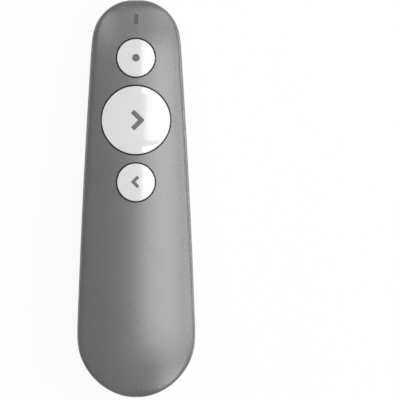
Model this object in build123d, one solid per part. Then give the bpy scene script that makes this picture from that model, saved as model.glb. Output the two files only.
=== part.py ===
from build123d import *
from build123d.topology import SkipClean
import os
from math import asin, cos, degrees, pi, radians, sin, tan

# Handheld presentation clicker. Millimetres.
# Design frame: X across, Y towards the nose, Z out of the button face. The seam plane
# between the two half shells is a little above Z = 0 and the nose's tip is Y = 0, so a
# station is -Y. Heights are measured from Z = 0.
# At the end every piece is turned about X, so that the straight stretch of the back
# rests on the floor, and moved so that the origin is the middle of the footprint.

# ---- overall shape of the body ------------------------------------------------------
BODY_LENGTH = 120.0          # nose to tail
NOSE_WIDTH = 25.1            # the sides' width carried on to the nose's tip
TAIL_WIDTH = 36.9            # the sides' width carried on to the tail's end
SIDE_BULGE = 0.67            # outward bow of each side between the two
NOSE_ROUND = 13.0            # length over which the nose rounds in plan
TAIL_ROUND = 19.2            # the same at the tail
NOSE_POWER = 2.2             # 2 is an elliptic end, more is blunter
TAIL_POWER = 1.93
SEAM_HEIGHT = 0.35           # parting plane of the two half shells
GIRTH_HEIGHT = 2.1           # the widest line
CREST_HEIGHT = 6.37          # top of the front face
CROWN_RADIUS = 75.0          # crosswise radius of the front face
SHOULDER_POWER = 6.0         # sharpness of the front face's shoulder
CREST_NOSE_ROUND = 22.0      # length over which the front face falls to the nose
CREST_TAIL_ROUND = 24.0      # and to the tail
CREST_POWER = 2.25
BACK_DEPTH = 6.44            # back surface below Z = 0, carried on to the nose's tip
REST_ANGLE = 7.5             # slope of the back's straight stretch against the seam
BACK_POWER = 2.2             # crosswise shape of the back, 2 is elliptic
BACK_NOSE_ROUND = 16.5       # length over which the back rises to the nose
BACK_NOSE_POWER = 1.65
BACK_TAIL_ROUND = 34.0       # and to the tail
BACK_TAIL_POWER = 1.72
WALL = 1.6                   # shell wall
END_FLAT = 0.1               # the lofts stop this far short of the two poles
SECTION_COUNT = 18           # sections along the body
SECTION_POINTS = 18          # points on each half of a section
SEAM_GROOVE_WIDTH = 0.3      # shadow line round the seam
SEAM_GROOVE_DEPTH = 0.5

# ---- buttons ------------------------------------------------------------------------
POINTER_STATION = 17.7
NEXT_STATION = 36.4
BACK_STATION = 55.1
SMALL_CAP_RADIUS = 5.68
LARGE_CAP_RADIUS = 10.25
CAP_GAP = 0.4                # gap round a cap
CAP_WALL = 1.2
CAP_EDGE = 0.25              # rounded rim of a cap
BUTTON_TRAVEL = 0.45
EAR_REACH = 1.3              # how far a cap's two ears reach under the shell
EAR_WIDTH = 3.2
EAR_HEIGHT = 0.6
EAR_CLEARANCE = 0.08         # an ear below the shell's inner face
STEM_RADIUS = 1.6
SCOOP_DEPTH = 0.55           # thumb scoop in the large cap
SCOOP_LENGTH_RADIUS = 59.0   # hollow along the body
SCOOP_WIDTH_RADIUS = 131.0   # arched across it

# ---- indicator, aperture, label -----------------------------------------------------
INDICATOR_STATION = 6.1
INDICATOR_WIDTH = 1.2
INDICATOR_LENGTH = 3.2
INDICATOR_SINK = 0.25        # lens below the shell's face
GUIDE_TOP = 3.0              # top of the light guide's arm
GUIDE_THICKNESS = 0.8
GUIDE_WIDTH = 1.4
GUIDE_CLEARANCE = 0.1
LED_OFFSET = 4.4
LED_STATION = 9.6
LED_SIZE = 1.6
LED_HEIGHT = 0.8
WINDOW_RADIUS = 0.95
WINDOW_SINK = 0.2
WINDOW_THICKNESS = 0.8
LABEL_STATION = 28.5
LABEL_WIDTH = 18.6
LABEL_LENGTH = 21.8
LABEL_CORNER = 2.0
LABEL_RECESS = 0.2
LABEL_THICKNESS = 0.12

# ---- screws, all alike --------------------------------------------------------------
SCREW_RADIUS = 0.9
SCREW_LENGTH = 4.0
SCREW_HEAD_RADIUS = 1.7
SCREW_HEAD_HEIGHT = 1.2
SCREW_DRIVE_WIDTH = 0.45
SCREW_DRIVE_DEPTH = 0.6
HOLE_SPARE = 0.2             # depth of a screw hole past the screw's tip
BOSS_RADIUS = 2.1

# ---- circuit board and what is on it ------------------------------------------------
BOARD_TOP = -1.5
BOARD_THICKNESS = 1.0
BOARD_START = 7.6
BOARD_END = 57.6
BOARD_CLEARANCE = 0.6
BOARD_SCREWS = [(8.9, 25.0), (10.6, 50.4)]
SWITCH_SIZE = 4.5
SWITCH_HEIGHT = 1.6
SWITCH_COVER_THICKNESS = 0.2
PLUNGER_CLEARANCE = 0.1
PLUNGER_RADIUS = 1.0
PLUNGER_FOOT = 1.2           # plunger's lower end above the board
PLUNGER_HEAD = 2.5           # plunger's upper end above the board

# ---- laser --------------------------------------------------------------------------
LASER_HEIGHT = 1.6           # the beam's height
BARREL_RADIUS = 1.5
BARREL_BORE = 1.1
BARREL_START = 7.9
BARREL_LENGTH = 3.2
LENS_THICKNESS = 0.8
LENS_SINK = 0.3
DIODE_LENGTH = 1.9
DIODE_FLANGE = 0.5
PIN_RADIUS = 0.2
PIN_LENGTH = 1.3
PIN_CIRCLE = 0.7
HOLDER_WIDTH = 4.8
HOLDER_INSET = 1.0           # the holder is this much shorter than the barrel each end

# ---- battery bay --------------------------------------------------------------------
DOOR_STATION = 67.2          # parting line between back shell and door
DOOR_GAP = 0.2               # round the door, at its rim and its parting line
SLIDE_CLEARANCE = 0.4        # between the door's wall and what it slides over
RAIL_THICKNESS = 0.6         # the tray's side rails and the door's ribs under them
RAIL_TOP = -0.5
RAIL_WIDTH = 1.4
RAIL_GAP = 0.12
RIB_LENGTH = 30.0
BATTERY_RADIUS = 5.25
BATTERY_LENGTH = 43.3
BATTERY_NUB_RADIUS = 1.9
BATTERY_NUB_HEIGHT = 1.2
BATTERY_STATION = 62.5       # negative end
BATTERY_OFFSET = -7.0
BATTERY_HEIGHT = -4.9
TRAY_TOP = 1.7
TRAY_THICKNESS = 0.7
TRAY_START = 58.0
TRAY_WALL = 0.9
TRAY_WALL_FOOT = -9.0
TRAY_DIVIDER_FOOT = -7.5
TRAY_PAD = 1.0               # thickness of the pads round the tray's screws
TRAY_SCREWS = [(3.2, 98.5), (9.2, 98.5)]
SADDLE_INSET = 8.0
SADDLE_WIDTH = 2.0
SADDLE_FOOT = -4.0
TONGUE_SCREWS = [(3.0, 70.2), (9.0, 70.2)]
TONGUE_THICKNESS = 1.2
TONGUE_START = 63.0
TONGUE_END = 72.6
TONGUE_INNER = 0.6
TONGUE_OUTER = 11.6
CONTACT_THICKNESS = 0.3
CONTACT_SIZE = 6.8
STRIP_WIDTH = 1.0
STRIP_OFFSET = -3.5
STRIP_THICKNESS = 0.2
SPRING_WIRE_RADIUS = 0.3
SPRING_RADIUS = 2.9
SPRING_TURNS = 3
RECEIVER_STATION = 74.2
RECEIVER_OFFSET = 5.75
RECEIVER_HEIGHT = -3.2
RECEIVER_WIDTH = 13.0
RECEIVER_THICKNESS = 6.0
RECEIVER_LENGTH = 7.0
RECEIVER_EDGE = 0.9
PLUG_WIDTH = 12.0
PLUG_HEIGHT = 4.5
PLUG_LENGTH = 12.0
PLUG_SHEET = 0.3
PLUG_TONGUE_HEIGHT = 1.9
PLUG_CONTACTS = [-3.5, -1.0, 1.0, 3.5]
STOP_WIDTH = 10.0
STOP_THICKNESS = 1.2
GRIP_STATION = 74.8          # oval finger hollows in the door's sides
GRIP_HEIGHT = -4.2
GRIP_LENGTH = 11.2
GRIP_WIDTH = 4.4
GRIP_DEPTH = 0.6
# stations and heights above the seam of the tail's two slanted cuts
TAIL_CUT = [(109.0, -18.0), (112.2, -10.9), (114.8, -5.1), (116.6, -5.1), (119.2, 0.0),
            (121.5, 4.5)]
NOTCH_WIDTH = 8.0            # nail notch in the front shell's tail
NOTCH_HEIGHT = 1.1
NOTCH_DEPTH = 1.1

SLOPE = tan(radians(REST_ANGLE))
FAR = 80.0                   # beyond every surface
FRONT_RISE = CREST_HEIGHT - GIRTH_HEIGHT


# ---- the body's outer surface -------------------------------------------------------
def rounding(distance, length, power):
    """Share of full size at a distance from a rounded end."""
    if distance >= length:
        return 1.0
    return (1 - (1 - max(distance, 0) / length) ** power) ** (1 / power)


def both_ends(station, inset, nose_length, nose_power, tail_length, tail_power):
    """Share of full size left by the roundings of the nose and the tail."""
    nose = rounding(station - inset, nose_length - inset, nose_power)
    tail = rounding(BODY_LENGTH - station - inset, tail_length - inset, tail_power)
    return nose * tail


def half_width(station, inset=0.0):
    share = station / BODY_LENGTH
    side = (NOSE_WIDTH + (TAIL_WIDTH - NOSE_WIDTH) * share) / 2
    side += 4 * SIDE_BULGE * share * (1 - share)
    return (side - inset) * both_ends(station, inset, NOSE_ROUND, NOSE_POWER,
                                      TAIL_ROUND, TAIL_POWER)


def crest(station, inset=0.0):
    """Height of the front face's middle line above the girth."""
    return (FRONT_RISE - inset) * both_ends(station, inset, CREST_NOSE_ROUND, CREST_POWER,
                                            CREST_TAIL_ROUND, CREST_POWER)


def keel(station, inset=0.0):
    """Depth of the back's middle line below the girth."""
    depth = BACK_DEPTH + GIRTH_HEIGHT + SLOPE * station
    return (depth - inset) * both_ends(station, inset, BACK_NOSE_ROUND, BACK_NOSE_POWER,
                                       BACK_TAIL_ROUND, BACK_TAIL_POWER)


def arch(share, power):
    """Height share of a superellipse at a share of its half width, and the reverse."""
    return (1 - min(abs(share), 1) ** power) ** (1 / power)


def crown_height(across, station, inset=0.0):
    """Height of the front face above the seam at a point."""
    rise = crest(station, inset)
    drop = across * across / (2 * CROWN_RADIUS) * min(1, rise / FRONT_RISE)
    return GIRTH_HEIGHT + (rise - drop) * arch(across / half_width(station, inset),
                                               SHOULDER_POWER)


def back_height(across, station, inset=0.0):
    """Height of the back surface above the seam at a point (negative)."""
    return GIRTH_HEIGHT - keel(station, inset) * arch(across / half_width(station, inset),
                                                      BACK_POWER)


def back_half_width(height, station, inset=0.0):
    """Half width between the back's surfaces at a height below the girth."""
    share = (GIRTH_HEIGHT - height) / keel(station, inset)
    return half_width(station, inset) * arch(share, BACK_POWER)


def spread(angle, power):
    """Share of the half width at an even turn round a superellipse."""
    return cos(angle) / (abs(cos(angle)) ** power + abs(sin(angle)) ** power) ** (1 / power)


def chord_shares(outline):
    """Share of an outline's length up to each of its points."""
    lengths = [0.0]
    for near, far in zip(outline, outline[1:]):
        lengths.append(lengths[-1] + (Vector(*far) - Vector(*near)).length)
    return [length / lengths[-1] for length in lengths]


def quarter_turns(outline_height, power, station):
    """Points of one half of a section, evenly turned round it."""
    shares = [spread(pi * step / SECTION_POINTS, power)
              for step in range(SECTION_POINTS + 1)]
    return [(share * half_width(station), outline_height(share * half_width(station), station))
            for share in shares]


# every section shares one spacing of its points, so the loft's patches line up
FRONT_PARAMETERS = chord_shares(quarter_turns(crown_height, SHOULDER_POWER, BODY_LENGTH / 2))
BACK_PARAMETERS = chord_shares(quarter_turns(back_height, BACK_POWER, BODY_LENGTH / 2))


def section(station, inset=0.0):
    """Closed section of the body: the front face's curve and the back's."""
    width = half_width(station, inset)
    front = [Vector(width, -station, GIRTH_HEIGHT)]
    back = [Vector(-width, -station, GIRTH_HEIGHT)]
    for step in range(1, SECTION_POINTS):
        angle = pi * step / SECTION_POINTS
        across = width * spread(angle, SHOULDER_POWER)
        front.append(Vector(across, -station, crown_height(across, station, inset)))
        across = -width * spread(angle, BACK_POWER)
        back.append(Vector(across, -station, back_height(across, station, inset)))
    rise, fall = Vector(0, 0, 1), Vector(0, 0, -1)
    front_curve = Edge.make_spline(front + back[:1], tangents=[rise, fall],
                                   parameters=FRONT_PARAMETERS)
    back_curve = Edge.make_spline(back + front[:1], tangents=[fall, rise],
                                  parameters=BACK_PARAMETERS)
    return Wire([front_curve, back_curve])


def body(inset=0.0):
    """The whole body, or the same shape with its surface moved in."""
    first = inset + END_FLAT
    span = BODY_LENGTH - 2 * first
    stations = [first + span * (1 - cos(pi * i / SECTION_COUNT)) / 2
                for i in range(SECTION_COUNT + 1)]
    return Solid.make_loft([section(station, inset) for station in stations])


# ---- small helpers ------------------------------------------------------------------
def block(x0, x1, s0, s1, z0, z1):
    """Box between two values across, two stations and two heights."""
    return Pos((x0 + x1) / 2, -(s0 + s1) / 2, (z0 + z1) / 2) * Box(x1 - x0, s1 - s0, z1 - z0)


def peg(x, station, z0, z1, radius):
    """Upright cylinder between two heights."""
    return Pos(x, -station, (z0 + z1) / 2) * Cylinder(radius, z1 - z0)


def rod(x, z, s0, s1, radius):
    """Cylinder along the body between two stations."""
    return Pos(x, -(s0 + s1) / 2, z) * Rot(90, 0, 0) * Cylinder(radius, s1 - s0)


def slab(z0, z1):
    """Everything between two heights."""
    return block(-FAR, FAR, -FAR, BODY_LENGTH + FAR, z0, z1)


def stretch(s0, s1):
    """Everything between two stations."""
    return block(-FAR, FAR, s0, s1, -FAR, FAR)


outer = body()
inner = body(WALL)
mid_wall = body(WALL / 2)


# ---- buttons ------------------------------------------------------------------------
PLUNGER_TOP = BOARD_TOP + PLUNGER_HEAD
COVER_TOP = BOARD_TOP + SWITCH_HEIGHT + SWITCH_COVER_THICKNESS


def scoop_tool(station):
    """Saddle-shaped cutter: hollow along the body and arched across it."""
    low = crown_height(0, station) - SCOOP_DEPTH
    half = LARGE_CAP_RADIUS + CAP_GAP
    sag = SCOOP_LENGTH_RADIUS - (SCOOP_LENGTH_RADIUS ** 2 - half ** 2) ** 0.5
    roof = sag + CREST_HEIGHT
    start, middle, end = (0, -half, sag), (0, 0, 0), (0, half, sag)
    outline = Wire([Edge.make_three_point_arc(start, middle, end),
                    Edge.make_line(end, (0, half, roof)),
                    Edge.make_line((0, half, roof), (0, -half, roof)),
                    Edge.make_line((0, -half, roof), start)])
    axis = Axis((0, 0, -SCOOP_WIDTH_RADIUS), (0, 1, 0))
    swing = 2 * degrees(asin(half / SCOOP_WIDTH_RADIUS))
    profile = Face(outline).rotate(axis, -swing / 2)
    return Pos(0, -station, low) * Solid.revolve(profile, swing, axis)


def button_cap(station, radius, scoop=None):
    """Crowned cap with a hollow underside, a stem and two ears."""
    ear_tip = radius + EAR_REACH
    ear_top = crown_height(ear_tip, station, WALL) - EAR_CLEARANCE
    bottom = ear_top - EAR_HEIGHT
    cap = peg(0, station, bottom, FAR, radius) & outer
    cap = fillet(cap.faces().sort_by(Axis.Z)[-1].edges(), CAP_EDGE)
    ceiling = crown_height(0, station) - CAP_WALL
    if scoop is not None:
        cap -= scoop
        ceiling -= SCOOP_DEPTH
    hollow = radius - CAP_WALL
    cap -= peg(0, station, bottom - 1, ceiling, hollow)
    stem = peg(0, station, PLUNGER_TOP, ceiling + CAP_WALL / 2, STEM_RADIUS)
    ears = block(-ear_tip, ear_tip, station - EAR_WIDTH / 2, station + EAR_WIDTH / 2,
                 bottom, ear_top)
    ears -= peg(0, station, bottom - 1, ear_top + 1, radius - CAP_WALL / 2)
    return cap.fuse(stem, *ears.solids())


pointer_cap = button_cap(POINTER_STATION, SMALL_CAP_RADIUS)
next_cap = button_cap(NEXT_STATION, LARGE_CAP_RADIUS, scoop_tool(NEXT_STATION))
back_cap = button_cap(BACK_STATION, SMALL_CAP_RADIUS)


def plunger(station):
    return peg(0, station, BOARD_TOP + PLUNGER_FOOT, PLUNGER_TOP, PLUNGER_RADIUS)


switch_bodies = []
switch_covers = []
half_switch = SWITCH_SIZE / 2
pocket_floor = BOARD_TOP + PLUNGER_FOOT - BUTTON_TRAVEL - PLUNGER_CLEARANCE
for station in (POINTER_STATION, NEXT_STATION, BACK_STATION):
    front_edge, rear_edge = station - half_switch, station + half_switch
    pocket = peg(0, station, pocket_floor, FAR, PLUNGER_RADIUS + PLUNGER_CLEARANCE)
    switch_bodies.append(block(-half_switch, half_switch, front_edge, rear_edge,
                               BOARD_TOP, BOARD_TOP + SWITCH_HEIGHT) - pocket)
    switch_covers.append(block(-half_switch, half_switch, front_edge, rear_edge,
                               BOARD_TOP + SWITCH_HEIGHT, COVER_TOP) - pocket)


# ---- screws and their places --------------------------------------------------------
def mirrored(spots):
    return spots + [(-x, station) for x, station in spots]


def screw(x, station, seat):
    """Pan-head screw driven upwards, its head's bearing face at the seat."""
    shape = peg(x, station, seat, seat + SCREW_LENGTH, SCREW_RADIUS)
    head_face = seat - SCREW_HEAD_HEIGHT
    shape += peg(x, station, head_face, seat, SCREW_HEAD_RADIUS)
    for turn in (0, 90):
        slot = Box(SCREW_HEAD_RADIUS, SCREW_DRIVE_WIDTH, 2 * SCREW_DRIVE_DEPTH)
        shape -= Pos(x, -station, head_face) * Rot(0, 0, turn) * slot
    return shape


BOARD_FOOT = BOARD_TOP - BOARD_THICKNESS
TRAY_FLOOR = TRAY_TOP - TRAY_THICKNESS
TRAY_SEAT = TRAY_FLOOR - TRAY_PAD
TONGUE_TOP = 0.0
TONGUE_SEAT = TONGUE_TOP - TONGUE_THICKNESS
screw_sets = [(mirrored(BOARD_SCREWS), BOARD_FOOT, BOARD_TOP),
              (TRAY_SCREWS, TRAY_SEAT, TRAY_TOP),
              (TONGUE_SCREWS, TONGUE_SEAT, TONGUE_TOP)]
screws, bosses, screw_holes = [], [], []
for spots, seat, boss_foot in screw_sets:
    for x, station in spots:
        screws.append(screw(x, station, seat))
        bosses.append(peg(x, station, boss_foot, CREST_HEIGHT, BOSS_RADIUS))
        screw_holes.append(peg(x, station, seat, seat + SCREW_LENGTH + HOLE_SPARE,
                               SCREW_RADIUS))


# ---- front shell --------------------------------------------------------------------
# Faces and edges stay as the cuts leave them here, because merging them after each cut
# would refit the lofts' long edges.
with SkipClean():
    front_shell = outer - inner
    front_shell -= slab(-FAR, SEAM_HEIGHT)
    cap_holes = [peg(0, station, GIRTH_HEIGHT, FAR, radius + CAP_GAP)
                 for station, radius in ((POINTER_STATION, SMALL_CAP_RADIUS),
                                         (NEXT_STATION, LARGE_CAP_RADIUS),
                                         (BACK_STATION, SMALL_CAP_RADIUS))]
    indicator_outline = SlotCenterToCenter(INDICATOR_LENGTH - INDICATOR_WIDTH, INDICATOR_WIDTH,
                                           90)
    LENS_FOOT = GUIDE_TOP - GUIDE_THICKNESS / 2
    indicator = Pos(0, -INDICATOR_STATION, LENS_FOOT) * extrude(indicator_outline, FAR)
    aperture = rod(0, LASER_HEIGHT, -FAR, 2 * WALL, WINDOW_RADIUS)
    notch = block(-NOTCH_WIDTH / 2, NOTCH_WIDTH / 2, BODY_LENGTH - NOTCH_DEPTH, BODY_LENGTH + FAR,
                  SEAM_HEIGHT, SEAM_HEIGHT + NOTCH_HEIGHT)
    front_shell = front_shell.cut(*cap_holes, *indicator.solids(), aperture, notch)
    boss_group = Compound(bosses) & mid_wall
    front_shell = front_shell.fuse(*boss_group.solids())
    front_shell = front_shell.cut(*screw_holes)


# ---- back shell ---------------------------------------------------------------------
# The wall is cut in three lengths, because the cut along the seam goes astray where one
# edge runs round the whole nose.
REAR_LENGTHS = (-FAR, 12.0, 40.0, DOOR_STATION)
with SkipClean():
    groove = slab(SEAM_HEIGHT - SEAM_GROOVE_WIDTH, SEAM_HEIGHT) - body(SEAM_GROOVE_DEPTH)
    wall = outer - inner
    lengths = []
    for start, end in zip(REAR_LENGTHS, REAR_LENGTHS[1:]):
        room = block(-FAR, FAR, start, end, -FAR, SEAM_HEIGHT)
        ledge = block(-FAR, FAR, start, end, SEAM_HEIGHT - SEAM_GROOVE_WIDTH, FAR)
        lengths.append((wall & room) - (ledge - body(SEAM_GROOVE_DEPTH)))
    rear_shell = lengths[0].fuse(*lengths[1:])
    label_outline = RectangleRounded(LABEL_WIDTH, LABEL_LENGTH, LABEL_CORNER)
    label_prism = Pos(0, -LABEL_STATION, 0) * extrude(label_outline, -FAR)
    label_seat = body(LABEL_RECESS)
    rear_shell -= label_prism - label_seat
    rear_label = (label_prism & body(LABEL_RECESS - LABEL_THICKNESS)) - label_seat
    passage = extrude(Face(section(DOOR_STATION, WALL + SLIDE_CLEARANCE)), FAR,
                      dir=(0, -1, 0), both=True)
    tongue_band = (TONGUE_SEAT, TONGUE_TOP)
    tongue = block(TONGUE_INNER, FAR, TONGUE_START, DOOR_STATION, *tongue_band) & mid_wall
    tongue += block(TONGUE_INNER, TONGUE_OUTER, TONGUE_START, TONGUE_END, *tongue_band)
    rear_shell = rear_shell.fuse(*tongue.solids())
    rear_shell = rear_shell.cut(*screw_holes)


# ---- battery door -------------------------------------------------------------------
def tail_limit(inset=0.0):
    """Prism that ends the back half at the tail's two slanted cuts."""
    points = [Vector(0, inset - station, SEAM_HEIGHT + height)
              for station, height in TAIL_CUT]
    points += [Vector(0, FAR, SEAM_HEIGHT + TAIL_CUT[-1][1]), Vector(0, FAR, -FAR),
               Vector(0, -TAIL_CUT[0][0], -FAR)]
    return extrude(Face(Wire.make_polygon(points)), FAR, dir=(1, 0, 0), both=True)


def grip_tool():
    """Spindle that hollows an oval finger grip in the door's right side."""
    half = GRIP_LENGTH / 2
    girth = ((GRIP_WIDTH / 2) ** 2 + GRIP_DEPTH ** 2) / (2 * GRIP_DEPTH)
    side = back_half_width(GRIP_HEIGHT, GRIP_STATION)
    slant = (back_half_width(GRIP_HEIGHT + 1, GRIP_STATION)
             - back_half_width(GRIP_HEIGHT - 1, GRIP_STATION)) / 2
    outwards = Vector(1, 0, -slant).normalized() * (girth - GRIP_DEPTH)
    centre = Vector(side, -GRIP_STATION, GRIP_HEIGHT) + outwards
    start, end = (girth - GRIP_DEPTH, -half, 0), (girth - GRIP_DEPTH, half, 0)
    outline = Wire([Edge.make_three_point_arc(start, (girth, 0, 0), end),
                    Edge.make_line(end, (0, half, 0)),
                    Edge.make_line((0, half, 0), (0, -half, 0)),
                    Edge.make_line((0, -half, 0), start)])
    return Pos(*centre) * Solid.revolve(Face(outline), 360, Axis.Y)


with SkipClean():
    door_room = block(-FAR, FAR, DOOR_STATION + DOOR_GAP, BODY_LENGTH, -FAR,
                      SEAM_HEIGHT - DOOR_GAP)
    battery_door = (outer & tail_limit() & door_room) - (inner & tail_limit(WALL))
    battery_door -= groove
    right_grip = grip_tool()
    battery_door = battery_door.cut(right_grip, right_grip.mirror(Plane.YZ))
    rail_inner = back_half_width(RAIL_TOP, DOOR_STATION, WALL + SLIDE_CLEARANCE) - RAIL_WIDTH
    rib_top = RAIL_TOP - RAIL_THICKNESS - RAIL_GAP
    rib_start = DOOR_STATION + DOOR_GAP + RAIL_THICKNESS
    rib_inner = rail_inner + SLIDE_CLEARANCE
    ribs = [block(rib_inner, FAR, rib_start, rib_start + RIB_LENGTH, rib_top - RAIL_THICKNESS,
                  rib_top),
            block(-FAR, -rib_inner, rib_start, rib_start + RIB_LENGTH, rib_top - RAIL_THICKNESS,
                  rib_top)]
    rib_group = Compound(ribs) & mid_wall
    battery_door = battery_door.fuse(*rib_group.solids())


# ---- battery, contacts and tray -----------------------------------------------------
BATTERY_END = BATTERY_STATION + BATTERY_LENGTH
NUB_END = BATTERY_END + BATTERY_NUB_HEIGHT
battery = rod(BATTERY_OFFSET, BATTERY_HEIGHT, BATTERY_STATION, BATTERY_END, BATTERY_RADIUS)
nub = rod(BATTERY_OFFSET, BATTERY_HEIGHT, BATTERY_END, NUB_END, BATTERY_NUB_RADIUS)

half_contact = CONTACT_SIZE / 2
plate_inner, plate_outer = BATTERY_OFFSET - half_contact, BATTERY_OFFSET + half_contact
plate_foot, plate_head = BATTERY_HEIGHT - half_contact, BATTERY_HEIGHT + half_contact
NEGATIVE_START = TRAY_START + TRAY_WALL
COIL_START = NEGATIVE_START + CONTACT_THICKNESS
tab_x0, tab_x1 = BATTERY_OFFSET - STRIP_WIDTH / 2, BATTERY_OFFSET + STRIP_WIDTH / 2
tab = block(tab_x0, tab_x1, BOARD_END - STRIP_WIDTH, COIL_START,
            BOARD_FOOT - STRIP_THICKNESS, BOARD_FOOT)
negative_plate = block(plate_inner, plate_outer, NEGATIVE_START, COIL_START,
                       plate_foot, plate_head)
negative_plate += tab
strip_x0, strip_x1 = STRIP_OFFSET - STRIP_WIDTH / 2, STRIP_OFFSET + STRIP_WIDTH / 2
PLATE_END = NUB_END + CONTACT_THICKNESS
STRIP_TOP = TRAY_TOP + STRIP_THICKNESS
STRIP_START = BOARD_END - STRIP_WIDTH
riser = block(strip_x0, strip_x1, NUB_END, PLATE_END, plate_foot, STRIP_TOP)
riser &= slab(plate_head - STRIP_WIDTH, STRIP_TOP)
positive_plate = block(plate_inner, plate_outer, NUB_END, PLATE_END, plate_foot, plate_head)
positive_plate += block(plate_outer - STRIP_WIDTH, strip_x1, NUB_END, PLATE_END,
                        plate_head - STRIP_WIDTH, plate_head)
positive_plate += riser
positive_plate += block(strip_x0, strip_x1, STRIP_START, PLATE_END, TRAY_TOP, STRIP_TOP)
positive_plate += block(strip_x0, strip_x1, STRIP_START, STRIP_START + STRIP_THICKNESS,
                        BOARD_TOP, TRAY_TOP)

coil_height = BATTERY_STATION - COIL_START - 2 * SPRING_WIRE_RADIUS
helix = Edge.make_helix(coil_height / SPRING_TURNS, coil_height, SPRING_RADIUS,
                        (0, 0, SPRING_WIRE_RADIUS))
coil = sweep(Plane(origin=helix @ 0, z_dir=helix % 0) * Circle(SPRING_WIRE_RADIUS), helix,
             is_frenet=True)
battery_spring = Pos(BATTERY_OFFSET, -COIL_START, BATTERY_HEIGHT) * Rot(90, 0, 0) * coil

TRAY_END = PLATE_END + TRAY_WALL
battery_side = BATTERY_OFFSET + BATTERY_RADIUS
battery_far_side = BATTERY_OFFSET - BATTERY_RADIUS
divider_side = battery_side + TRAY_WALL
tray = block(-FAR, FAR, TRAY_START, TRAY_END, TRAY_FLOOR, TRAY_TOP)
for wall_start in (TRAY_START, PLATE_END):
    tray += block(battery_far_side, divider_side, wall_start, wall_start + TRAY_WALL,
                  TRAY_WALL_FOOT, TRAY_FLOOR)
tray += block(battery_side, divider_side, TRAY_START, TRAY_END, TRAY_DIVIDER_FOOT, TRAY_FLOOR)
for station in (BATTERY_STATION + SADDLE_INSET, BATTERY_END - SADDLE_INSET):
    tray += block(battery_far_side, battery_side, station - SADDLE_WIDTH / 2,
                  station + SADDLE_WIDTH / 2, SADDLE_FOOT, TRAY_FLOOR)
for side in (-1, 1):
    x0, x1 = sorted((side * rail_inner, side * FAR))
    tray += block(x0, x1, DOOR_STATION, TRAY_END, RAIL_TOP - RAIL_THICKNESS, RAIL_TOP)
    x0, x1 = sorted((side * rail_inner, side * (rail_inner + RAIL_THICKNESS)))
    tray += block(x0, x1, DOOR_STATION, TRAY_END, RAIL_TOP, TRAY_FLOOR)
tray += block(RECEIVER_OFFSET - STOP_WIDTH / 2, RECEIVER_OFFSET + STOP_WIDTH / 2,
              RECEIVER_STATION - STOP_THICKNESS, RECEIVER_STATION,
              RECEIVER_HEIGHT - PLUG_HEIGHT / 4, TRAY_FLOOR)
for x, station in TRAY_SCREWS:
    tray += peg(x, station, TRAY_SEAT, TRAY_FLOOR, BOSS_RADIUS)
tray = tray & (mid_wall & passage) & body(WALL + SLIDE_CLEARANCE)
boss_room = [peg(x, station, TONGUE_TOP, FAR, BOSS_RADIUS + SLIDE_CLEARANCE)
             for x, station in TONGUE_SCREWS]
battery_room = rod(BATTERY_OFFSET, BATTERY_HEIGHT, NEGATIVE_START, PLATE_END, BATTERY_RADIUS)
tray = tray.cut(battery_room, *boss_room, *screw_holes, *tab.solids(), *riser.solids())


# ---- receiver stored beside the battery ---------------------------------------------
PLUG_END = RECEIVER_STATION + PLUG_LENGTH
half_receiver, half_rise = RECEIVER_WIDTH / 2, RECEIVER_THICKNESS / 2
half_plug, plug_rise = PLUG_WIDTH / 2, PLUG_HEIGHT / 2
receiver_housing = block(RECEIVER_OFFSET - half_receiver, RECEIVER_OFFSET + half_receiver,
                         PLUG_END, PLUG_END + RECEIVER_LENGTH,
                         RECEIVER_HEIGHT - half_rise, RECEIVER_HEIGHT + half_rise)
receiver_housing = fillet(receiver_housing.edges(), RECEIVER_EDGE)
plug_inner = half_plug - PLUG_SHEET
sheet_rise = plug_rise - PLUG_SHEET
plug_shell = block(RECEIVER_OFFSET - half_plug, RECEIVER_OFFSET + half_plug,
                   RECEIVER_STATION, PLUG_END, RECEIVER_HEIGHT - plug_rise,
                   RECEIVER_HEIGHT + plug_rise)
plug_shell -= block(RECEIVER_OFFSET - plug_inner, RECEIVER_OFFSET + plug_inner,
                    RECEIVER_STATION - 1, PLUG_END, RECEIVER_HEIGHT - sheet_rise,
                    RECEIVER_HEIGHT + sheet_rise)
tongue_foot = RECEIVER_HEIGHT + sheet_rise - PLUG_TONGUE_HEIGHT
plug_tongue = block(RECEIVER_OFFSET - plug_inner, RECEIVER_OFFSET + plug_inner,
                    RECEIVER_STATION + PLUG_SHEET, PLUG_END, tongue_foot,
                    RECEIVER_HEIGHT + sheet_rise)
plug_contacts = [block(RECEIVER_OFFSET + x - STRIP_WIDTH / 2,
                       RECEIVER_OFFSET + x + STRIP_WIDTH / 2,
                       RECEIVER_STATION + STOP_THICKNESS, PLUG_END - STOP_THICKNESS,
                       tongue_foot - STRIP_THICKNESS, tongue_foot)
                 for x in PLUG_CONTACTS]


# ---- circuit board and its parts ----------------------------------------------------
board_rows = [BOARD_START, BOARD_START + 1.5, BOARD_START + 4, BOARD_START + 8,
              BOARD_START + 16, BOARD_END]
right_side = [(back_half_width(BOARD_FOOT, station, WALL) - BOARD_CLEARANCE, -station)
              for station in board_rows]
left_side = [(-x, y) for x, y in reversed(right_side)]
board_outline = make_face(Polyline(right_side + left_side + right_side[:1]))
main_board = Pos(0, 0, BOARD_FOOT) * extrude(board_outline, BOARD_THICKNESS)
main_board = main_board.cut(*screw_holes)


def chip(x, station, width, length, height, side=-1):
    """Block soldered on the board, on its underside unless side is 1."""
    face = BOARD_TOP if side > 0 else BOARD_FOOT
    z0, z1 = sorted((face, face + side * height))
    return block(x - width / 2, x + width / 2, station - length / 2, station + length / 2,
                 z0, z1)


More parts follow.
